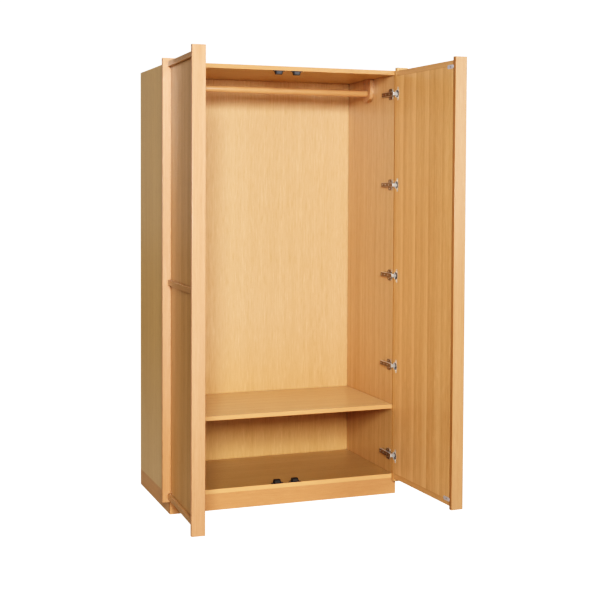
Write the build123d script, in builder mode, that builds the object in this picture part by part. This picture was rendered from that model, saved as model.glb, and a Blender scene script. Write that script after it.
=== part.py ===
from build123d import *
import math
import os

os.makedirs("parts", exist_ok=True)

# Two-door wardrobe, millimetres. X runs to the right, Y to the back, Z up.
# The origin is on the floor, on the carcass's front plane, midway between the sides.
# Both doors are drawn standing open; closed, they cover the carcass's front.

# Carcass
carcass_width = 1020
carcass_depth = 520
carcass_top = 1850
board = 18
plinth_height = 70
shelf_top = 394
back_thickness = 8
back_set_in = 14
back_groove = 8

# Hanging rail and its brackets
rail_radius = 15
rail_depth = 254.5
rail_drop = 64
rail_seat = 9
bracket_width = 75
bracket_screw_spread = 44
bracket_screw_drop = 18

# Doors, measured from the hinge edge (across), the floor (up) and the inner face (deep)
left_open_angle = 91.7
right_open_angle = 92.2
door_reveal = 1
door_gap = 3
stile_width = 19
stile_depth = 52.3
stile_bottom = 58
stile_top = 1862
stile_rounding = 2
rail_height = 21
door_rail_depth = 30
bottom_rail_from = 72
middle_rail_from = 945
top_rail_to = 1848
rail_rounding = 1.5
door_panel_thickness = 18
tongue_length = 8
tongue_from = 6
tongue_thickness = 6
tenon_length = 10
tenon_shoulder = 4

# Hinges: a cup sunk in the door, and an arm on the side board that ends at a pin in the cup
hinge_count = 5
first_hinge = 171
hinge_pitch = 394.75
pin_inset = 8
pin_radius = 1.25
pin_half_length = 11
pin_play = 0.05
cup_centre = 20
cup_radius = 17.5
cup_wall = 1
cup_depth = 11.5
cup_floor = 0.8
cup_flange = 1
cup_wing_centre = 29
cup_wing_width = 12
cup_wing_height = 58
cup_screw_spread = 48
cheek_width = 11.5
slot_from = 4.2
slot_half_height = 7.4
neck_half_height = 7
neck_thickness = 4
neck_reach = 10
neck_rounding = 1.5
knuckle_radius = 2.2
plate_thickness = 4
plate_from = 12
plate_length = 80
plate_height = 16
wing_length = 36
wing_height = 47
wing_rounding = 8
plate_screw_place = 37
plate_screw_spread = 32
arm_from = 2.5
arm_length = 97
arm_height = 19
arm_thickness = 9.5
arm_rounding = 2
arm_screw_radius = 3.5
arm_screw_rise = 1.2
arm_screw_places = (24, 58, 88)

# Magnetic catches and the strike plates that meet them
catch_offset = 40
catch_width = 35
catch_slope = 73
catch_depth = 16
catch_height = 16.5
catch_front = 0.5
catch_flange_width = 50
catch_flange_depth = 12
catch_flange_thickness = 3
catch_screw_spread = 42.5
catch_rounding = 1
magnet_width = 22
magnet_height = 11
magnet_length = 10
magnet_front = -1
strike_length = 48
strike_height = 16
strike_thickness = 1.2

# Fixings
dowel_radius = 4
dowel_in_side = 12
dowel_in_board = 18
dowel_depths = (60, 254, 450)
screw_head_radius = 3.5
screw_head_depth = 2
screw_radius = 1.5
recess_length = 3.6
recess_width = 0.8
recess_depth = 1
wood_screw = 14
short_screw = 10
long_screw = 28
corner_block = 35
corner_block_height = 60

half_width = carcass_width / 2
inner_half = half_width - board
floor_top = plinth_height + board
ceiling = carcass_top - board
back_face = carcass_depth - back_set_in - back_thickness
rail_height_up = ceiling - rail_drop
inside_height = carcass_top - plinth_height
hinge_heights = [first_hinge + hinge_pitch * i for i in range(hinge_count)]
board_middles = (plinth_height + board / 2, shelf_top - board / 2, carcass_top - board / 2)
door_width = half_width - door_reveal - door_gap / 2
meeting_stile_from = door_width - stile_width
panel_bottom = bottom_rail_from + rail_height
panel_top = top_rail_to - rail_height
strike_centre = half_width - door_reveal - catch_offset

# The pin lies inside the door: pin_inset from its hinge edge, pin_sink below its inner face.
# A closed door stands door_gap in front of the carcass.
pin_sink = 7.5
pin_x = half_width - door_reveal - pin_inset
pin_y = -(door_gap + pin_sink)


def save(builder, name):
    """Label a finished piece and write its STEP file."""
    builder.part.label = name
    export_step(builder.part, f"parts/{name}.step")


def opened(side):
    """How far a door stands open, in radians; side is -1 for the left door and 1 for the right."""
    angle = right_open_angle if side == 1 else left_open_angle
    return math.radians(side * angle)


def door_direction(side):
    """Along a door as it stands open."""
    angle = opened(side)
    return Vector(math.cos(angle), math.sin(angle), 0)


def door_outward(side):
    """Out of a door's inner face, into its wood."""
    angle = opened(side)
    return Vector(math.sin(angle), -math.cos(angle), 0)


def door_face(side):
    """Plane of a door's inner face: x along the door, y up, z into the wood."""
    origin = Vector(side * pin_x, pin_y, 0) - door_outward(side) * pin_sink
    return Plane(origin=origin, x_dir=door_direction(side), z_dir=door_outward(side))


def across(side, distance):
    """Place on a door's face of a distance from its hinge edge."""
    return side * (pin_inset - distance)


def door_outline(side, start, end, bottom, top, depth=0):
    """Rectangle in a door, from its hinge edge and the floor, at a depth below its face."""
    with BuildSketch(door_face(side).offset(depth)) as outline:
        with Locations((across(side, (start + end) / 2), (bottom + top) / 2)):
            Rectangle(end - start, top - bottom)
    return outline.sketch


def side_face(side, lift=0):
    """Plane of a side board's inner face: x to the back, z into the wood."""
    return Plane(origin=(side * (inner_half - lift), 0, 0), x_dir=(0, 1, 0), z_dir=(side, 0, 0))


def plan_point(side, inward, back):
    """Point on plan from a hinge pin's middle: inward to the carcass's middle, and back."""
    return (side * (pin_x - inward), pin_y + back)


def drive_screws(plane, points, length, mode=Mode.ADD):
    """Countersunk screws, heads flush with the plane and driven along its normal."""
    with BuildSketch(plane) as heads:
        with Locations(*points):
            Circle(screw_head_radius)
    with BuildSketch(plane) as shanks:
        with Locations(*points):
            Circle(screw_radius)
    extrude(heads.sketch, amount=screw_head_depth, taper=45, mode=mode)
    extrude(shanks.sketch, amount=length, mode=mode)


def cut_recesses(plane, points):
    """Cross recesses in screw heads, cut into the plane along its normal."""
    with BuildSketch(plane) as crosses:
        with Locations(*points):
            Rectangle(recess_length, recess_width)
            Rectangle(recess_width, recess_length)
    extrude(crosses.sketch, amount=recess_depth, mode=Mode.SUBTRACT)


def finished_screws(name, plane_and_points, length):
    """Screws on one or more planes, with their recesses, saved as one group."""
    with BuildPart() as screws:
        for plane, points in plane_and_points:
            drive_screws(plane, points, length)
            cut_recesses(plane, points)
    save(screws, name)


def dowel_holes(side, heights, depth, mode=Mode.SUBTRACT):
    """Dowel holes at a side board's inner face; a positive depth goes into the side board."""
    with BuildSketch(Plane.YZ.offset(side * inner_half)) as holes:
        with Locations(*[(place, height) for place in dowel_depths for height in heights]):
            Circle(dowel_radius)
    extrude(holes.sketch, amount=side * depth, mode=mode)


def plate_screw_points(side):
    """Two screws in each hinge plate, on the side board's plane."""
    offsets = (-plate_screw_spread / 2, plate_screw_spread / 2)
    return [(plate_screw_place, side * (height + shift)) for height in hinge_heights for shift in offsets]


def cup_screw_points(side):
    """Two screws in each cup's wings, on the door's face."""
    offsets = (-cup_screw_spread / 2, cup_screw_spread / 2)
    place = across(side, cup_wing_centre)
    return [(place, height + shift) for height in hinge_heights for shift in offsets]


def bracket_screw_points(side):
    """Two screws in each rail bracket, on the side board's plane."""
    offsets = (-bracket_screw_spread / 2, bracket_screw_spread / 2)
    return [(rail_depth + shift, side * (ceiling - bracket_screw_drop)) for shift in offsets]


def catch_screw_points(facing):
    """Two screws in each catch's flange; facing is 1 on the floor board and -1 on the top."""
    places = [
        middle + shift
        for middle in (-catch_offset, catch_offset)
        for shift in (-catch_screw_spread / 2, catch_screw_spread / 2)
    ]
    return [(place, -facing * (catch_front + catch_flange_depth / 2)) for place in places]


def catch_board(facing):
    """Height of the surface that a catch stands on or hangs from."""
    return floor_top if facing == 1 else ceiling


def catch_screw_plane(facing):
    """Plane of a catch flange's outer face, with its normal into the board."""
    height = catch_board(facing) + facing * catch_flange_thickness
    return Plane(origin=(0, 0, height), x_dir=(1, 0, 0), z_dir=(0, 0, -facing))


def strike_points(side):
    """Middles of a door's two strike plates, level with the catches' magnets."""
    place = across(side, strike_centre)
    return [(place, floor_top + catch_height / 2), (place, ceiling - catch_height / 2)]


# ---------------------------------------------------------------- carcass

def side_board(side, name):
    with BuildPart() as board_part:
        with BuildSketch(Plane.XY.offset(plinth_height)):
            with Locations((side * (half_width - board / 2), carcass_depth / 2)):
                Rectangle(board, carcass_depth)
        extrude(amount=inside_height)
        # Groove for the back
        with BuildSketch(Plane.XY.offset(floor_top - back_groove)):
            with Locations((side * (inner_half + back_groove / 2), back_face + back_thickness / 2)):
                Rectangle(back_groove, back_thickness)
        extrude(amount=ceiling - floor_top + 2 * back_groove, mode=Mode.SUBTRACT)
        dowel_holes(side, board_middles, dowel_in_side)
        drive_screws(side_face(side, plate_thickness), plate_screw_points(side), wood_screw, Mode.SUBTRACT)
        drive_screws(side_face(side, board), bracket_screw_points(side), long_screw, Mode.SUBTRACT)
    save(board_part, name)


side_board(-1, "left_side_panel")
side_board(1, "right_side_panel")


def level_board(name, top, groove_from=None, facing=None):
    """A board between the sides; groove_from is the bottom of the back's groove in it."""
    depth = carcass_depth if groove_from is not None else back_face
    with BuildPart() as level:
        with BuildSketch(Plane.XY.offset(top - board)):
            with Locations((0, depth / 2)):
                Rectangle(2 * inner_half, depth)
        extrude(amount=board)
        if groove_from is not None:
            with BuildSketch(Plane.XY.offset(groove_from)):
                with Locations((0, back_face + back_thickness / 2)):
                    Rectangle(2 * inner_half, back_thickness)
            extrude(amount=back_groove, mode=Mode.SUBTRACT)
        dowel_holes(-1, (top - board / 2,), -dowel_in_board)
        dowel_holes(1, (top - board / 2,), -dowel_in_board)
        if facing is not None:
            drive_screws(catch_screw_plane(facing), catch_screw_points(facing), short_screw, Mode.SUBTRACT)
    save(level, name)


level_board("top_panel", carcass_top, groove_from=ceiling, facing=-1)
level_board("bottom_panel", floor_top, groove_from=floor_top - back_groove, facing=1)
level_board("lower_shelf", shelf_top)

with BuildPart() as back_panel:
    with BuildSketch(Plane.XY.offset(floor_top - back_groove)):
        with Locations((0, back_face + back_thickness / 2)):
            Rectangle(2 * (inner_half + back_groove), back_thickness)
    extrude(amount=ceiling - floor_top + 2 * back_groove)
save(back_panel, "back_panel")

with BuildPart() as carcass_dowels:
    for side in (-1, 1):
        dowel_holes(side, board_middles, dowel_in_side, Mode.ADD)
        dowel_holes(side, board_middles, -dowel_in_board, Mode.ADD)
save(carcass_dowels, "carcass_dowels")

# ---------------------------------------------------------------- plinth

with BuildPart() as plinth_front:
    with BuildSketch():
        with Locations((0, board / 2)):
            Rectangle(carcass_width, board)
    extrude(amount=plinth_height)
save(plinth_front, "plinth_front")

with BuildPart() as plinth_back:
    with BuildSketch():
        with Locations((0, carcass_depth - board / 2)):
            Rectangle(2 * inner_half, board)
    extrude(amount=plinth_height)
save(plinth_back, "plinth_back")

for side, side_name in ((-1, "left"), (1, "right")):
    with BuildPart() as plinth_side:
        with BuildSketch():
            with Locations((side * (half_width - board / 2), (carcass_depth + board) / 2)):
                Rectangle(board, carcass_depth - board)
        extrude(amount=plinth_height)
    save(plinth_side, f"plinth_{side_name}")

with BuildPart() as plinth_corner_blocks:
    with BuildSketch(Plane.XY.offset(plinth_height - corner_block_height)):
        with Locations((0, carcass_depth / 2)):
            with GridLocations(
                2 * inner_half - corner_block, carcass_depth - 2 * board - corner_block, 2, 2
            ):
                Rectangle(corner_block, corner_block)
    extrude(amount=corner_block_height)
save(plinth_corner_blocks, "plinth_corner_blocks")

# ---------------------------------------------------------------- hanging rail

with BuildPart() as hanging_rail:
    with BuildSketch(Plane.YZ):
        with Locations((rail_depth, rail_height_up)):
            Circle(rail_radius)
    extrude(amount=inner_half - board + rail_seat, both=True)
save(hanging_rail, "hanging_rail")


def rail_bracket(side, name):
    """A board with a round bottom, screwed to the side, with a blind seat for the rail."""
    seat_plane = Plane.YZ.offset(side * (inner_half - board))
    with BuildPart() as bracket:
        with BuildSketch(seat_plane):
            with Locations((rail_depth, rail_height_up)):
                Circle(bracket_width / 2)
            with Locations((rail_depth, (ceiling + rail_height_up) / 2)):
                Rectangle(bracket_width, rail_drop)
        extrude(amount=side * board)
        with BuildSketch(seat_plane):
            with Locations((rail_depth, rail_height_up)):
                Circle(rail_radius)
        extrude(amount=side * rail_seat, mode=Mode.SUBTRACT)
        drive_screws(side_face(side, board), bracket_screw_points(side), long_screw, Mode.SUBTRACT)
    save(bracket, name)


rail_bracket(-1, "left_rail_bracket")
rail_bracket(1, "right_rail_bracket")

finished_screws(
    "bracket_screws",
    [(side_face(side, board), bracket_screw_points(side)) for side in (-1, 1)],
    long_screw,
)

# ---------------------------------------------------------------- hinge plates and arms


def hinge_plates(side, name):
    """Cross-shaped plates on a side board, one at each hinge."""
    with BuildPart() as plates:
        with BuildSketch(side_face(side)):
            with Locations(*[(plate_from + plate_length / 2, side * height) for height in hinge_heights]):
                RectangleRounded(plate_length, plate_height, 2)
            with Locations(*[(plate_from + wing_length / 2, side * height) for height in hinge_heights]):
                RectangleRounded(wing_length, wing_height, wing_rounding)
        extrude(amount=-plate_thickness)
        drive_screws(side_face(side, plate_thickness), plate_screw_points(side), wood_screw, Mode.SUBTRACT)
    save(plates, name)


def hinge_arms(side, name):
    """Arms on the plates, each with a square nose and a neck that reaches across to the pin."""
    arm_start = board - door_reveal - pin_inset + plate_thickness
    arm_end = arm_start + arm_thickness
    arm_front = arm_from - pin_y
    neck_half = neck_thickness / 2
    planes = [Plane.XY.offset(height) for height in hinge_heights]
    with BuildPart() as arms:
        with BuildSketch(*planes):
            with Locations(plan_point(side, arm_start + arm_thickness / 2, arm_front + arm_length / 2)):
                Rectangle(arm_thickness, arm_length)
        extrude(amount=arm_height / 2, both=True)
        fillet(arms.edges().filter_by(Axis.Y).group_by(Axis.X)[0 if side == 1 else -1], arm_rounding)
        with BuildSketch(*planes):
            with BuildLine():
                FilletPolyline(
                    plan_point(side, 0, -neck_half),
                    plan_point(side, arm_end, -neck_half),
                    plan_point(side, arm_end, arm_front + 2 * neck_rounding),
                    plan_point(side, neck_reach, arm_front + 2 * neck_rounding),
                    plan_point(side, neck_reach, neck_half),
                    plan_point(side, 0, neck_half),
                    radius=neck_rounding,
                    close=True,
                )
            make_face()
            with Locations(plan_point(side, 0, 0)):
                Circle(knuckle_radius)
                Circle(pin_radius + pin_play, mode=Mode.SUBTRACT)
        extrude(amount=neck_half_height, both=True)
    save(arms, name)


def arm_screws(side, name):
    """Pan-headed adjusting screws on each arm."""
    lift = plate_thickness + arm_thickness
    points = [(place, side * height) for place in arm_screw_places for height in hinge_heights]
    with BuildPart() as screws:
        with BuildSketch(side_face(side, lift)):
            with Locations(*points):
                Circle(arm_screw_radius)
        extrude(amount=-arm_screw_rise)
        cut_recesses(side_face(side, lift + arm_screw_rise), points)
    save(screws, name)


for side, side_name in ((-1, "left"), (1, "right")):
    hinge_plates(side, f"{side_name}_hinge_plates")
    finished_screws(
        f"{side_name}_plate_screws",
        [(side_face(side, plate_thickness), plate_screw_points(side))],
        wood_screw,
    )
    hinge_arms(side, f"{side_name}_hinge_arms")
    arm_screws(side, f"{side_name}_arm_screws")

# ---------------------------------------------------------------- magnetic catches


def catch_magnets_at(facing, mode=Mode.ADD):
    """Magnet blocks, set into the catches' fronts and standing a little out of them."""
    height = catch_board(facing) + facing * catch_height / 2
    with BuildSketch(Plane.XZ.offset(-magnet_front)) as magnets:
        with Locations((-catch_offset, height), (catch_offset, height)):
            Rectangle(magnet_width, magnet_height)
    extrude(magnets.sketch, amount=-magnet_length, mode=mode)


with BuildPart() as catch_bodies:
    for facing in (-1, 1):
        with BuildSketch(Plane.XY.offset(catch_board(facing))):
            for middle in (-catch_offset, catch_offset):
                with Locations((middle, catch_front + catch_flange_depth / 2)):
                    RectangleRounded(catch_flange_width, catch_flange_depth, catch_rounding)
        extrude(amount=facing * catch_flange_thickness)
        turn = 0 if facing == 1 else 180
        with BuildSketch(Plane.XZ.offset(-catch_front)):
            for middle in (-catch_offset, catch_offset):
                with Locations((middle, catch_board(facing) + facing * catch_height / 2)):
                    Trapezoid(catch_width, catch_height, catch_slope, rotation=turn)
        extrude(amount=-catch_depth)
        catch_magnets_at(facing, Mode.SUBTRACT)
        drive_screws(catch_screw_plane(facing), catch_screw_points(facing), short_screw, Mode.SUBTRACT)
save(catch_bodies, "catch_bodies")

with BuildPart() as catch_magnets:
    for facing in (-1, 1):
        catch_magnets_at(facing)
save(catch_magnets, "catch_magnets")

finished_screws(
    "catch_screws",
    [(catch_screw_plane(facing), catch_screw_points(facing)) for facing in (-1, 1)],
    short_screw,
)

# ---------------------------------------------------------------- doors


def hinge_bores(side):
    """Sink the hinge cups' bores and their screws' holes into a door piece."""
    with BuildSketch(door_face(side)) as bores:
        with Locations(*[(across(side, cup_centre), height) for height in hinge_heights]):
            Circle(cup_radius)
    extrude(bores.sketch, amount=cup_depth, mode=Mode.SUBTRACT)
    drive_screws(door_face(side).offset(-cup_flange), cup_screw_points(side), wood_screw, Mode.SUBTRACT)


def strike_holes(side):
    """Sink the holes of the strike plates' screws into a door piece."""
    drive_screws(
        door_face(side).offset(-strike_thickness), strike_points(side), wood_screw, Mode.SUBTRACT
    )


def stile(side, start, groove_start, mortise_start, hinged, name):
    """An upright of the door's frame, deeper than the rails and longer than the panel."""
    rails = (
        (bottom_rail_from, 0),
        (middle_rail_from, door_panel_thickness),
        (top_rail_to - rail_height, 0),
    )
    with BuildPart() as upright:
        extrude(door_outline(side, start, start + stile_width, stile_bottom, stile_top), amount=stile_depth)
        fillet(upright.edges().filter_by(Axis.Z), stile_rounding)
        groove = door_outline(
            side, groove_start, groove_start + tongue_length, panel_bottom, panel_top, tongue_from
        )
        extrude(groove, amount=tongue_thickness, mode=Mode.SUBTRACT)
        for rail_from, rail_face in rails:
            mortise = door_outline(
                side,
                mortise_start,
                mortise_start + tenon_length,
                rail_from + tenon_shoulder,
                rail_from + rail_height - tenon_shoulder,
                rail_face + tenon_shoulder,
            )
            depth = door_rail_depth - rail_face - 2 * tenon_shoulder
            extrude(mortise, amount=depth, mode=Mode.SUBTRACT)
        if hinged:
            hinge_bores(side)
    save(upright, name)


def door_rail(side, rail_from, rail_face, groove_from, name):
    """A cross piece between the stiles, with a tenon at each end."""
    with BuildPart() as rail:
        body = door_outline(
            side, stile_width, meeting_stile_from, rail_from, rail_from + rail_height, rail_face
        )
        extrude(body, amount=door_rail_depth - rail_face)
        long_edges = rail.edges().filter_by(Axis((0, 0, 0), door_direction(side)))
        fillet(long_edges.sort_by(Axis((0, 0, 0), door_outward(side)))[-2:], rail_rounding)
        tenons = door_outline(
            side,
            stile_width - tenon_length,
            meeting_stile_from + tenon_length,
            rail_from + tenon_shoulder,
            rail_from + rail_height - tenon_shoulder,
            rail_face + tenon_shoulder,
        )
        extrude(tenons, amount=door_rail_depth - rail_face - 2 * tenon_shoulder)
        if groove_from is not None:
            groove = door_outline(
                side,
                stile_width,
                meeting_stile_from,
                groove_from,
                groove_from + tongue_length,
                tongue_from,
            )
            extrude(groove, amount=tongue_thickness, mode=Mode.SUBTRACT)
    save(rail, name)


def door_panel(side, name):
    """The veneered panel, with a tongue on each edge."""
    with BuildPart() as panel:
        extrude(
            door_outline(side, stile_width, meeting_stile_from, panel_bottom, panel_top),
            amount=door_panel_thickness,
        )
        side_tongues = door_outline(
            side,
            stile_width - tongue_length,
            meeting_stile_from + tongue_length,
            panel_bottom,
            panel_top,
            tongue_from,
        )
        extrude(side_tongues, amount=tongue_thickness)
        end_tongues = door_outline(
            side,
            stile_width,
            meeting_stile_from,
            panel_bottom - tongue_length,
            panel_top + tongue_length,
            tongue_from,
        )
        extrude(end_tongues, amount=tongue_thickness)
        hinge_bores(side)
        strike_holes(side)
    save(panel, name)


def hinge_cups(side, name):
    """Flanged cups with a slot for the arm's neck and a bored cheek on each side of it."""
    face = door_face(side)
    heights = hinge_heights
    with BuildPart() as cups:
        with BuildSketch(face):
            with Locations(*[(across(side, cup_centre), height) for height in heights]):
                Circle(cup_radius)
        extrude(amount=cup_depth)
        with BuildSketch(face):
            with Locations(*[(across(side, cup_centre), height) for height in heights]):
                Circle(cup_radius)
            with Locations(*[(across(side, cup_wing_centre), height) for height in heights]):
                RectangleRounded(cup_wing_width, cup_wing_height, 5)
        extrude(amount=-cup_flange)
        with BuildSketch(face.offset(-cup_flange)):
            with Locations(*[(across(side, cup_centre), height) for height in heights]):
                Circle(cup_radius - cup_wall)
            with Locations(*[(across(side, cheek_width / 2), height) for height in heights]):
                Rectangle(cheek_width, 2 * cup_radius, mode=Mode.SUBTRACT)
            with Locations(*[(across(side, (slot_from + cup_centre) / 2), height) for height in heights]):
                Rectangle(cup_centre - slot_from, 2 * slot_half_height)
        extrude(amount=cup_flange + cup_depth - cup_floor, mode=Mode.SUBTRACT)
        with BuildSketch(*[Plane.XY.offset(height) for height in heights]):
            with Locations((side * pin_x, pin_y)):
                Circle(pin_radius)
        extrude(amount=pin_half_length, both=True, mode=Mode.SUBTRACT)
        drive_screws(face.offset(-cup_flange), cup_screw_points(side), wood_screw, Mode.SUBTRACT)
    save(cups, name)


def hinge_pins(side, name):
    with BuildPart() as pins:
        with BuildSketch(*[Plane.XY.offset(height) for height in hinge_heights]):
            with Locations((side * pin_x, pin_y)):
                Circle(pin_radius)
        extrude(amount=pin_half_length, both=True)
    save(pins, name)


def strike_plates(side, name):
    """Steel ovals that meet the catches' magnets."""
    with BuildPart() as strikes:
        with BuildSketch(door_face(side)):
            with Locations(*strike_points(side)):
                SlotOverall(strike_length, strike_height)
        extrude(amount=-strike_thickness)
        strike_holes(side)
    save(strikes, name)


for side, side_name in ((-1, "left"), (1, "right")):
    hinge_groove = stile_width - tongue_length
    hinge_mortise = stile_width - tenon_length
    stile(side, 0, hinge_groove, hinge_mortise, True, f"{side_name}_hinge_stile")
    stile(
        side,
        meeting_stile_from,
        meeting_stile_from,
        meeting_stile_from,
        False,
        f"{side_name}_meeting_stile",
    )
    bottom_groove = panel_bottom - tongue_length
    door_rail(side, bottom_rail_from, 0, bottom_groove, f"{side_name}_bottom_rail")
    door_rail(side, middle_rail_from, door_panel_thickness, None, f"{side_name}_middle_rail")
    door_rail(side, top_rail_to - rail_height, 0, panel_top, f"{side_name}_top_rail")
    door_panel(side, f"{side_name}_door_panel")
    hinge_cups(side, f"{side_name}_hinge_cups")
    hinge_pins(side, f"{side_name}_hinge_pins")
    strike_plates(side, f"{side_name}_strike_plates")
    finished_screws(
        f"{side_name}_cup_screws",
        [(door_face(side).offset(-cup_flange), cup_screw_points(side))],
        wood_screw,
    )
    finished_screws(
        f"{side_name}_strike_screws",
        [(door_face(side).offset(-strike_thickness), strike_points(side))],
        wood_screw,
    )
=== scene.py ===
import math

import bmesh
import bpy
from mathutils import Matrix, Vector


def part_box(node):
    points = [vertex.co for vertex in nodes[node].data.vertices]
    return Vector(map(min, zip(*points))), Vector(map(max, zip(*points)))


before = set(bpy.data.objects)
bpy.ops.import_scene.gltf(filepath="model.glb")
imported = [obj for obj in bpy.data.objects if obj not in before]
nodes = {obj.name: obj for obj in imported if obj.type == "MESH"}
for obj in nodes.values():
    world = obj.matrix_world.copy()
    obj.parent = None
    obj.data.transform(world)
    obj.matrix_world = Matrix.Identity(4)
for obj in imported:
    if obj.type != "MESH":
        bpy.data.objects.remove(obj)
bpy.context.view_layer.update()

# A two-door wardrobe in beech with both doors open, seen from the front and a little to the
# left. Lengths are in metres, and the tones of finishes are as the eye sees them, from 0 to 255.

X, Y, Z = Vector((1, 0, 0)), Vector((0, 1, 0)), Vector((0, 0, 1))

# ---------------------------------------------------------------- node trees


class Recipe:
    """A material's node tree, with a short call for each kind of node."""

    def __init__(self, name):
        self.material = bpy.data.materials.new(name)
        self.material.use_nodes = True
        self.tree = self.material.node_tree
        self.tree.nodes.clear()
        self.output = self.tree.nodes.new("ShaderNodeOutputMaterial")
        self.place = self.tree.nodes.new("ShaderNodeTexCoord")

    def add(self, kind, inputs, **settings):
        made = self.tree.nodes.new(kind)
        for key, value in settings.items():
            setattr(made, key, value)
        for key, value in inputs.items():
            if isinstance(value, bpy.types.NodeSocket):
                self.tree.links.new(value, made.inputs[key])
            else:
                made.inputs[key].default_value = value
        return made

    def math(self, operation, a, b=0.0, c=0.0):
        return self.add("ShaderNodeMath", {0: a, 1: b, 2: c}, operation=operation).outputs[0]

    def dot(self, vector, axis):
        inputs = {0: vector, 1: tuple(axis)}
        return self.add("ShaderNodeVectorMath", inputs, operation="DOT_PRODUCT").outputs["Value"]

    def point(self, x, y, z):
        return self.add("ShaderNodeCombineXYZ", {0: x, 1: y, 2: z}).outputs[0]

    def noise(self, vector, scale, detail=3.0, roughness=0.55):
        inputs = {"Vector": vector, "Scale": scale, "Detail": detail, "Roughness": roughness}
        return self.add("ShaderNodeTexNoise", inputs).outputs["Fac"]

    def random(self, value):
        made = self.add("ShaderNodeTexWhiteNoise", {"W": value}, noise_dimensions="1D")
        return made.outputs["Value"]

    def span(self, value, low, high, to_low=0.0, to_high=1.0):
        """The value's smooth place between low and high, as a number from to_low to to_high."""
        inputs = {"Value": value, 1: low, 2: high, 3: to_low, 4: to_high}
        return self.add("ShaderNodeMapRange", inputs, interpolation_type="SMOOTHSTEP").outputs[0]

    def mix(self, share, a, b, blend="MIX"):
        inputs = {0: share, 6: a, 7: b}
        made = self.add("ShaderNodeMix", inputs, data_type="RGBA", blend_type=blend)
        return made.outputs[2]

    def surface(self, height=None, bump=0.3, depth=0.0002, **inputs):
        """Ends the tree in a Principled shader, with a bump from height.

        An input is named in lower case, such as base_color for the socket Base Color.
        """
        named = {}
        for key, value in inputs.items():
            named[key.replace("_", " ").title().replace("Ior", "IOR")] = value
        if height is not None:
            relief = {"Height": height, "Strength": bump, "Distance": depth}
            named["Normal"] = self.add("ShaderNodeBump", relief).outputs[0]
        shader = self.add("ShaderNodeBsdfPrincipled", named)
        self.tree.links.new(shader.outputs[0], self.output.inputs[0])
        return self.material


def colour(red, green, blue):
    """A colour given as the eye sees it, from 0 to 255, as linear light."""
    def linear(value):
        share = value / 255
        return share / 12.92 if share <= 0.04045 else ((share + 0.055) / 1.055) ** 2.4
    return (linear(red), linear(green), linear(blue), 1.0)


def scaled(tone, shares):
    """A tone with its red, green and blue each multiplied by a share."""
    return tuple(part * share for part, share in zip(tone, shares)) + (1.0,)


# ---------------------------------------------------------------- wood

first_leaf = 40
deep_shares = (0.80, 0.72, 0.60)
pale_shares = (1.12, 1.17, 1.27)
pale_limit = 0.92
ray_shares = (0.62, 0.50, 0.36)
# The tones of painted shade in narrow joints and on a board's darker side
joint_shade_shares = (0.42, 0.33, 0.22)
side_shade_shares = (0.70, 0.60, 0.42, 1.0)
glue_line = 0.003


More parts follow.
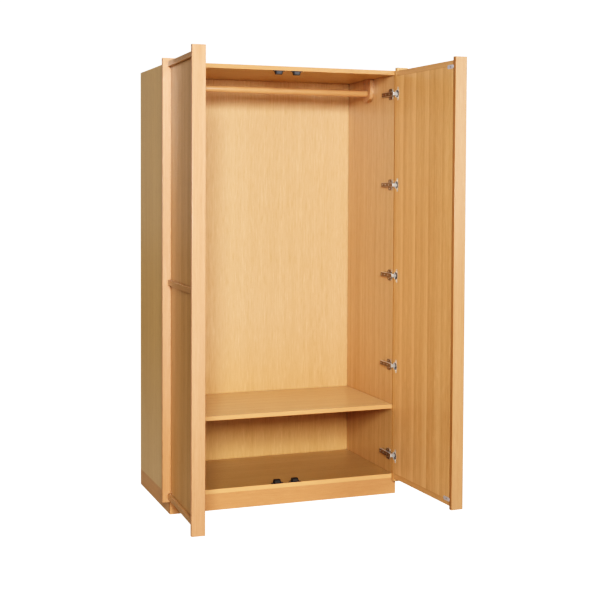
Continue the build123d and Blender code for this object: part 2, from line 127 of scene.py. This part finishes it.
def beech(
    name, tone, along, across, leaf=0.107, start=0.0, seed=0.0, figure=1.0, strokes=0.3,
    ramp=0.0, painted_drift=0.0, painted_foot_tint=None, painted_final_tint=None, rim=None, edge=None, shade_side=None, solid=False,
):
    """Beech with its grain along one direction and its leaves side by side in another.

    Leaves are as wide as leaf, with a joint at start. solid wood has no joints. figure is the
    strength of the grain, and seed moves the pattern. ramp makes each leaf lighter towards its
    far edge, and drift is painted light that makes each one lighter than the one before. strokes
    are short lines along the grain. foot is the colour of painted light and shade that tints the
    lowest part, and last the colour of painted light that tints the final leaves. rim holds the
    heights of a panel's two ends, with their dark glue lines. edge is the tone of the lipping on a
    board's edges. shaded is the direction of a face that gets painted shade, a deeper tone than
    the rest.
    """
    made = Recipe(name)
    through = along.cross(across)
    place = made.place.outputs["Object"]
    u = made.math("SUBTRACT", made.dot(place, across), start - first_leaf * leaf)
    v = made.math("ADD", made.dot(place, through), seed)
    w = made.math("ADD", made.dot(place, along), seed * 1.7)

    # Slip-matched leaves repeat one figure, each a little apart from the one before
    number = made.math("FLOOR", made.math("DIVIDE", u, leaf))
    inside = made.math("SUBTRACT", u, made.math("MULTIPLY", number, leaf))
    shift = made.math("MULTIPLY", made.random(number), 0.02)
    depth = made.math("ADD", v, shift)
    long = made.math("ADD", w, shift)

    # A slow wander keeps the lines from running dead straight
    slow = made.point(made.math("MULTIPLY", inside, 9), depth, made.math("MULTIPLY", long, 0.8))
    wander = made.noise(slow, 1.6)
    bent = made.math("ADD", inside, made.math("MULTIPLY", made.math("SUBTRACT", wander, 0.5), 0.03))

    def streaks(thickness, length, detail, roughness=0.55):
        vector = made.point(
            made.math("DIVIDE", bent, thickness),
            made.math("DIVIDE", depth, thickness),
            made.math("DIVIDE", long, length),
        )
        return made.noise(vector, 1.0, detail, roughness)

    broad = streaks(0.028, 1.4, 2.0)
    middle = streaks(0.006, 0.5, 3.0)
    fine = streaks(0.0013, 0.07, 3.0, 0.7)
    short = streaks(0.0036, 0.055, 2.0)
    dashes = streaks(0.0007, 0.006, 1.0)
    tone_shift = made.math("SUBTRACT", made.random(made.math("ADD", number, 0.5)), 0.5)

    def add(total, part, share):
        """The total with a share of another part, so that many parts make one lightness."""
        return made.math("MULTIPLY_ADD", part, share, total)

    lines = made.math("MULTIPLY", made.span(broad, 0.3, 0.7, -1, 1), 0.26 * figure)
    lines = add(lines, made.span(middle, 0.3, 0.7, -1, 1), 0.30 * figure)
    lines = add(lines, made.span(fine, 0.3, 0.7, -1, 1), 0.20 * figure)
    lines = add(lines, tone_shift, 0.4 * figure)
    lines = add(lines, made.span(short, 0.52, 0.72), strokes)
    lines = add(lines, made.span(short, 0.46, 0.30), -0.8 * strokes)
    if ramp:
        climb = made.math("POWER", made.math("DIVIDE", inside, leaf), 1.6)
        lines = add(lines, made.math("SUBTRACT", climb, 0.4), 2 * ramp)
    # Painted light makes each leaf lighter than the one before
    if painted_drift:
        lines = add(lines, made.math("SUBTRACT", number, first_leaf + 2), painted_drift)
    light = made.math("MULTIPLY_ADD", lines, 0.5, 0.5)

    deep = scaled(tone, deep_shares)
    pale = tuple(min(part, pale_limit) for part in scaled(tone, pale_shares)[:3]) + (1.0,)
    face = made.mix(light, deep, pale)

    # Short brown flecks, the rays of the beech
    flecks = made.math("MULTIPLY", made.span(dashes, 0.64, 0.74), 0.42)
    rays = scaled(tone, ray_shares)
    face = made.mix(flecks, face, rays)

    if not solid:
        joint = made.math("SUBTRACT", 1.0, made.span(inside, 0.0, 0.0022))
        face = made.mix(made.math("MULTIPLY", joint, 0.45 * figure), face, rays)

    # Tints of painted light and shade, and glue lines
    # Painted light lightens the final leaves
    if painted_final_tint is not None:
        late = made.span(number, first_leaf, first_leaf + 4)
        face = made.mix(late, face, painted_final_tint + (1.0,), blend="MULTIPLY")
    if rim is not None:
        low_end, high_end = rim
        level = made.dot(place, Z)
        low_line = made.span(level, low_end + glue_line, low_end)
        high_line = made.span(level, high_end - glue_line, high_end)
        ends = made.math("ADD", low_line, high_line)
        face = made.mix(made.math("MULTIPLY", ends, 0.75), face, rays)
    # Painted light and shade tint the lowest part
    if painted_foot_tint is not None:
        low = made.span(made.dot(place, Z), 0.8, 0.1)
        face = made.mix(low, face, painted_foot_tint + (1.0,), blend="MULTIPLY")

    # Grain ends, and the lipping on a board's edges
    normal = made.place.outputs["Normal"]
    end_on = made.math("ABSOLUTE", made.dot(normal, along))
    pores = made.noise(place, 900.0, 2.0)
    end_grain = made.mix(made.span(pores, 0.4, 0.65), deep, rays)
    if edge is not None:
        lipping = made.mix(made.span(fine, 0.3, 0.7), edge, scaled(edge, (0.9, 0.9, 0.9)))
        upright = made.math("ABSOLUTE", made.dot(normal, through))
        face = made.mix(made.span(upright, 0.5, 0.6), lipping, face)
        end_grain = lipping
    face = made.mix(made.span(end_on, 0.6, 0.7), face, end_grain)

    # Painted shade gives the faces on one side a deeper tone
    if shade_side is not None:
        side_shade_face = made.mix(1.0, face, side_shade_shares, blend="MULTIPLY")
        face = made.mix(made.span(made.dot(normal, shade_side), 0.6, 0.9), face, side_shade_face)

    # Painted shade darkens narrow joints and crevices
    joint_light = made.add("ShaderNodeAmbientOcclusion", {"Distance": 0.009}, samples=3)
    shade = made.span(joint_light.outputs["AO"], 0.62, 0.25, 0.0, 0.8)
    face = made.mix(shade, face, scaled(tone, joint_shade_shares))

    dullness = made.math("ADD", fine, made.math("MULTIPLY", flecks, 0.6))
    gloss = made.span(dullness, 0.25, 0.95, 0.27, 0.42)
    height = made.math("SUBTRACT", made.math("MULTIPLY", fine, 0.6), flecks)
    return made.surface(height, bump=0.22, base_color=face, roughness=gloss, specular_ior_level=0.5)


# ---------------------------------------------------------------- metal and plastic

# The colour of painted shade in the hollows of fittings
hollow_shade_tone = (0.025, 0.018, 0.012, 1.0)


def metal(name, tone, roughness, metallic=1.0, brushed=None, wood_reflection_tone=None, hollow_shade=0.0, hollow=0.012):
    """Plated or brushed steel, with faint marks in its gloss.

    brushed is how fine the marks are along X, Y and Z. satin is a darker brown for the faces
    across X, a painted reflection of the nearby wood, and grime is painted shade that darkens
    hollows as wide as hollow.
    """
    made = Recipe(name)
    place = made.place.outputs["Object"]
    if brushed is None:
        marks = made.noise(place, 260.0, 4.0)
    else:
        stretched = made.add("ShaderNodeVectorMath", {0: place, 1: brushed}, operation="MULTIPLY")
        marks = made.noise(stretched.outputs[0], 1.0, 4.0)
    clouds = made.noise(place, 45.0, 2.0)
    dull = scaled(tone, (0.88, 0.88, 0.88))
    skin = made.mix(made.span(clouds, 0.3, 0.75), tone, dull)
    # A painted reflection of the nearby wood darkens the faces across X
    if wood_reflection_tone is not None:
        across = made.math("ABSOLUTE", made.dot(made.place.outputs["Normal"], X))
        skin = made.mix(made.span(across, 0.75, 0.95), skin, wood_reflection_tone)
    # Painted shade darkens the hollows
    if hollow_shade:
        openness = made.add("ShaderNodeAmbientOcclusion", {"Distance": hollow}, samples=6)
        hollow_shade_mask = made.span(openness.outputs["AO"], 0.72, 0.38, 0.0, hollow_shade)
        skin = made.mix(hollow_shade_mask, skin, hollow_shade_tone)
    gloss = made.span(marks, 0.3, 0.75, roughness * 0.8, roughness * 1.25)
    finish = {"base_color": skin, "roughness": gloss, "metallic": metallic}
    return made.surface(marks, bump=0.03, depth=0.0001, **finish)


def plastic(name, tone):
    """Moulded plastic with a fine spark texture."""
    made = Recipe(name)
    place = made.place.outputs["Object"]
    grain = made.noise(place, 1800.0, 2.0)
    clouds = made.noise(place, 60.0, 2.0)
    worn = scaled(tone, (1.5, 1.5, 1.5))
    skin = made.mix(made.span(clouds, 0.4, 0.7), tone, worn)
    gloss = made.span(grain, 0.3, 0.7, 0.38, 0.52)
    return made.surface(grain, bump=0.2, depth=0.0001, base_color=skin, roughness=gloss)


# ---------------------------------------------------------------- finishes


def dress(name, material):
    """Puts a material on a CAD node's slots."""
    piece = nodes[name]
    if not piece.material_slots:
        piece.data.materials.append(material)
    for slot in piece.material_slots:
        slot.material = material


def door_line(sign, angle):
    """From a door's hinges to its free edge, as it stands open."""
    return Vector((-sign * math.cos(angle), -math.sin(angle), 0))


# Boards and their lippings
outer_veneer = colour(223, 186, 131)
inner_veneer = colour(212, 175, 129)
back_veneer = colour(225, 187, 143)
lipping_tone = colour(216, 166, 112)
levels = {
    "top_panel": (colour(202, 164, 100), colour(212, 160, 110)),
    "bottom_panel": (colour(190, 153, 100), colour(234, 182, 126)),
    "lower_shelf": (colour(224, 191, 142), colour(225, 174, 121)),
}

# Solid parts of the carcass
solid_tone = colour(195, 150, 109)
plinth_front_tone = colour(210, 156, 107)
plinth_side_tone = colour(212, 164, 119)
rail_tone = colour(212, 164, 117)

# Each door turns on a line of pins at pin_x and pin_y. Its row of leaves is counted from
# pin_to_joint short of the pins, and its panel's tongues go tongue_depth into the rails.
pin_x, pin_y = 0.501, -0.0105
pin_to_joint = 0.0365
door_leaf = 0.1097
tongue_depth = 0.008
# In the doors, the stiles' bottom tints, the left panel's leaf-to-leaf lightening and its
# final-leaves tint are painted light and shade, and the right meeting stile's inner face gets
# painted shade
doors = {
    "left": {
        "sign": -1,
        "angle": math.radians(91.7),
        "panel": colour(187, 145, 92),
        "rails": colour(191, 147, 100),
        "hinge_stile": {"tone": colour(216, 169, 131), "painted_foot_tint": (0.92, 0.83, 0.68)},
        "meeting_stile": {"tone": colour(204, 158, 121), "painted_foot_tint": (0.97, 0.92, 0.86)},
        "painted_drift": 0.12,
        "painted_final_tint": (1.16, 1.2, 1.36),
    },
    "right": {
        "sign": 1,
        "angle": math.radians(92.2),
        "panel": colour(218, 173, 120),
        "rails": colour(208, 162, 110),
        "hinge_stile": {"tone": colour(214, 168, 113)},
        "meeting_stile": {"tone": colour(197, 151, 108), "shade_side": -X},
        "painted_drift": 0.0,
        "painted_final_tint": None,
    },
}

lipped = {"edge": lipping_tone}
# The side panels' front edges get painted shade
side_board = {"along": Z, "across": Y, "shade_side": -Y, **lipped}
board = {"solid": True, "leaf": 0.5, "start": 0.1}

# Each tint at the bottom is painted light and shade towards the floor
left_side = beech(
    "left_side_veneer", outer_veneer, seed=0.3, figure=0.6, strokes=0.35,
    painted_foot_tint=(1.03, 1.1, 1.34), **side_board,
)
right_side = beech(
    "right_side_veneer", inner_veneer, seed=1.9, figure=1.0, strokes=0.5,
    painted_foot_tint=(0.89, 0.80, 0.64), **side_board,
)
back = beech(
    "back_veneer", back_veneer, Z, X, 0.0925, 0.02, seed=3.1, figure=0.3, strokes=0.5,
    painted_foot_tint=(0.92, 0.86, 0.67), **lipped,
)
dress("left_side_panel", left_side)
dress("right_side_panel", right_side)
dress("back_panel", back)
for number, (name, (tone, edge)) in enumerate(levels.items()):
    seed = 5.3 + number
    dress(name, beech(f"{name}_veneer", tone, X, Y, 0.13, seed=seed, figure=0.8, edge=edge))
for number, name in enumerate(("plinth_front", "plinth_back")):
    seed = 9.1 + number
    dress(name, beech(f"{name}_beech", plinth_front_tone, X, Z, seed=seed, figure=0.35, **board))
for number, name in enumerate(("plinth_left", "plinth_right")):
    seed = 11.4 + number
    dress(name, beech(f"{name}_beech", plinth_side_tone, Y, Z, seed=seed, figure=0.35, **board))
dress("plinth_corner_blocks", beech("block_beech", solid_tone, Z, X, seed=13.7, **board))
dress("hanging_rail", beech("rail_beech", rail_tone, X, Z, seed=15.2, figure=0.5, **board))
dress("carcass_dowels", beech("dowel_beech", solid_tone, X, Z, seed=16.8, **board))

for name, door in doors.items():
    sign = door["sign"]
    line = door_line(sign, door["angle"])
    bracket = beech(f"{name}_bracket_beech", solid_tone, Z, Y, seed=18.1 + sign, **board)
    dress(f"{name}_rail_bracket", bracket)
    low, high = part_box(f"{name}_door_panel")
    panel = beech(
        f"{name}_door_veneer", door["panel"], Z, line, door_leaf,
        start=Vector((sign * pin_x, pin_y, 0)).dot(line) - pin_to_joint,
        seed=21.5 + sign, figure=1.05, strokes=0.55, ramp=0.42, painted_drift=door["painted_drift"],
        painted_final_tint=door["painted_final_tint"], rim=(low[2] + tongue_depth, high[2] - tongue_depth),
    )
    dress(f"{name}_door_panel", panel)
    for number, part in enumerate(("hinge_stile", "meeting_stile")):
        look = {**door[part], **board, "seed": 25.3 + 2 * number + sign, "figure": 0.5}
        stile = beech(f"{name}_{part}_beech", along=Z, across=line, **look)
        dress(f"{name}_{part}", stile)
    for number, part in enumerate(("bottom_rail", "middle_rail", "top_rail")):
        look = {**board, "seed": 33.9 + 2 * number + sign, "figure": 0.6}
        dress(f"{name}_{part}", beech(f"{name}_{part}_beech", door["rails"], line, Z, **look))

# Fittings
# Painted shade darkens the hollows of both nickels, and the hinge arms and plates carry a painted
# reflection of the wood on their faces across X
nickel = metal("nickel_plate", colour(250, 246, 240), 0.34, 0.2, hollow_shade=0.95, hollow=0.025)
nickel_with_wood_reflection = metal(
    "nickel_with_wood_reflection", colour(240, 234, 226), 0.34, 0.55, wood_reflection_tone=colour(128, 104, 78), hollow_shade=0.9
)
zinc = metal("zinc_screws", colour(190, 188, 182), 0.32)
strike_steel = metal("strike_steel", colour(218, 220, 230), 0.5, 0.5)
magnet_steel = metal("magnet_steel", colour(104, 103, 106), 0.40, brushed=(60, 60, 1200))
dress("catch_bodies", plastic("black_plastic", colour(22, 21, 22)))
dress("catch_magnets", magnet_steel)
dress("catch_screws", zinc)
dress("bracket_screws", zinc)
for name in doors:
    for part in ("hinge_cups", "hinge_pins"):
        dress(f"{name}_{part}", nickel)
    for part in ("hinge_plates", "hinge_arms"):
        dress(f"{name}_{part}", nickel_with_wood_reflection)
    for part in ("plate_screws", "arm_screws", "cup_screws", "strike_screws"):
        dress(f"{name}_{part}", zinc)
    dress(f"{name}_strike_plates", strike_steel)

# ---------------------------------------------------------------- eased edges

# Fittings keep their CAD edges, and wooden edges are rubbed down
weld_distance = 0.00001
easing = 0.0006
fittings = ("hinge_cups", "hinge_arms", "hinge_plates", "hinge_pins", "strike", "catch", "screws")
for name, piece in nodes.items():
    weld = piece.modifiers.new("weld", "WELD")
    weld.merge_threshold = weld_distance
    if any(word in name for word in fittings):
        continue
    eased = piece.modifiers.new("eased", "BEVEL")
    eased.width = easing
    eased.segments = 2
    eased.limit_method = "ANGLE"
    eased.angle_limit = math.radians(50)
    eased.harden_normals = True

# ---------------------------------------------------------------- studio

floor_size = 40.0
floor_gap = 0.0005
floor_glow = 1.24
dome_radius = 60.0
dome_glow = 1.26
room_light = (0.205, 0.185, 0.155, 1.0)
backdrop_light = (0.27, 0.27, 0.27, 1.0)


def stage_material(name, paint, glow):
    """A matt paint with a white glow."""
    made = Recipe(name)
    speckle = made.noise(made.place.outputs["Object"], 3.0)
    mottled = made.mix(speckle, paint + (1.0,), scaled(paint, (0.99, 0.99, 0.99)))
    white = (1.0, 1.0, 1.0, 1.0)
    return made.surface(
        base_color=mottled, roughness=0.9, emission_color=white, emission_strength=glow
    )


def stage_piece(name, build, material, seen):
    """A stage mesh that only the camera sees, or that only bounces light onto the object."""
    mesh = bpy.data.meshes.new(name)
    shape = bmesh.new()
    build(shape)
    shape.to_mesh(mesh)
    shape.free()
    mesh.materials.append(material)
    piece = bpy.data.objects.new(name, mesh)
    bpy.context.scene.collection.objects.link(piece)
    piece.visible_camera = seen
    piece.visible_diffuse = not seen
    piece.visible_glossy = not seen
    piece.visible_shadow = False
    return piece


def floor_shape(shape):
    bmesh.ops.create_grid(shape, x_segments=8, y_segments=8, size=floor_size / 2)


def dome_shape(shape):
    bmesh.ops.create_icosphere(shape, subdivisions=4, radius=dome_radius)


floor_white = stage_material("floor_white", (0.3, 0.3, 0.3), floor_glow)
floor = stage_piece("studio_floor", floor_shape, floor_white, True)
floor.location.z = -floor_gap
floor_paint = stage_material("floor_paint", (0.42, 0.34, 0.23), 0.0)
bounce = stage_piece("floor_bounce", floor_shape, floor_paint, False)
bounce.location.z = -2 * floor_gap
dome_white = stage_material("dome_white", (0.0, 0.0, 0.0), dome_glow)
stage_piece("studio_dome", dome_shape, dome_white, True)

# A pale backdrop stands behind, and the room in front is darker and warmer
world = bpy.data.worlds.new("studio")
bpy.context.scene.world = world
world.use_nodes = True
sky = world.node_tree.nodes
direction = sky.new("ShaderNodeTexCoord")
behind = sky.new("ShaderNodeVectorMath")
behind.operation = "DOT_PRODUCT"
behind.inputs[1].default_value = (0, 1, 0)
share = sky.new("ShaderNodeMapRange")
share.interpolation_type = "SMOOTHSTEP"
share.inputs[2].default_value = 0.9
around = sky.new("ShaderNodeMix")
around.data_type = "RGBA"
around.inputs[6].default_value = room_light
around.inputs[7].default_value = backdrop_light
world.node_tree.links.new(direction.outputs["Generated"], behind.inputs[0])
world.node_tree.links.new(behind.outputs["Value"], share.inputs[0])
world.node_tree.links.new(share.outputs[0], around.inputs[0])
world.node_tree.links.new(around.outputs[2], sky["Background"].inputs["Color"])


def softbox(name, place, target, width, height, power, tint=(1.0, 1.0, 1.0), spread=180):
    """A rectangular light that faces its target, with its power in watts and spread in degrees."""
    lamp = bpy.data.lights.new(name, "AREA")
    lamp.spread = math.radians(spread)
    lamp.shape = "RECTANGLE"
    lamp.size = width
    lamp.size_y = height
    lamp.energy = power
    lamp.color = tint
    light = bpy.data.objects.new(name, lamp)
    light.location = place
    light.rotation_euler = (Vector(target) - Vector(place)).to_track_quat("-Z", "Y").to_euler()
    bpy.context.scene.collection.objects.link(light)


softbox("key", (-1.85, -5.3, 2.45), (0, 0, 1.0), 1.2, 1.4, 352, (0.99, 1.0, 1.03))
softbox("fill", (3.2, -4.6, 1.9), (0, 0, 1.0), 1.6, 2.2, 60)
softbox("card", (-4.0, 0.2, 0.9), (-0.5, 0.2, 0.8), 2.0, 2.0, 14)

# Two weak lights keep the back and the right side from going dark in other views
softbox("back_light", (0.0, 5.2, 1.7), (0, 0.5, 1.0), 0.9, 1.6, 3.6, spread=40)
softbox("right_light", (5.2, 1.0, 1.7), (0.5, 0.2, 1.0), 1.6, 1.8, 2.4, spread=40)

camera_place = (-1.706, -4.5917, 1.3513)
camera_yaw = math.radians(20.06)
camera_pitch = math.radians(-2.162)
camera_roll = math.radians(0.233)
sensor_width = 36
focal_length = 69.78
camera = bpy.data.objects.new("camera", bpy.data.cameras.new("camera"))
bpy.context.scene.collection.objects.link(camera)
camera.data.sensor_width = sensor_width
camera.data.lens = focal_length
camera.data.shift_x = 0.0315
camera.data.shift_y = -0.1178
camera.matrix_world = (
    Matrix.Translation(camera_place)
    @ Matrix.Rotation(-camera_yaw, 4, "Z")
    @ Matrix.Rotation(math.pi / 2 + camera_pitch, 4, "X")
    @ Matrix.Rotation(camera_roll, 4, "Z")
)
bpy.context.scene.camera = camera

# A photographic tone curve: deep shadows, soft highlights
view = bpy.context.scene.view_settings
view.view_transform = "Standard"
view.use_curve_mapping = True
curve_top, curve_power, curve_middle = 1.438, 1.525, 0.702
brightest = 4
mapping = view.curve_mapping
mapping.use_clip = True
mapping.clip_min_x = 0
mapping.clip_min_y = 0
mapping.clip_max_x = brightest
mapping.clip_max_y = 2
combined_curve = 3
response = mapping.curves[combined_curve]


def exposed(light):
    """The picture's value for an amount of light, rising as an S to curve_top."""
    risen = light ** curve_power
    return curve_top * risen / (risen + curve_middle ** curve_power)


response.points[1].location = (brightest, exposed(brightest))
for light in (0.04, 0.1, 0.2, 0.35, 0.5, 0.7, 0.95, 1.3, 1.8, 2.6):
    response.points.new(light, exposed(light))
mapping.update()
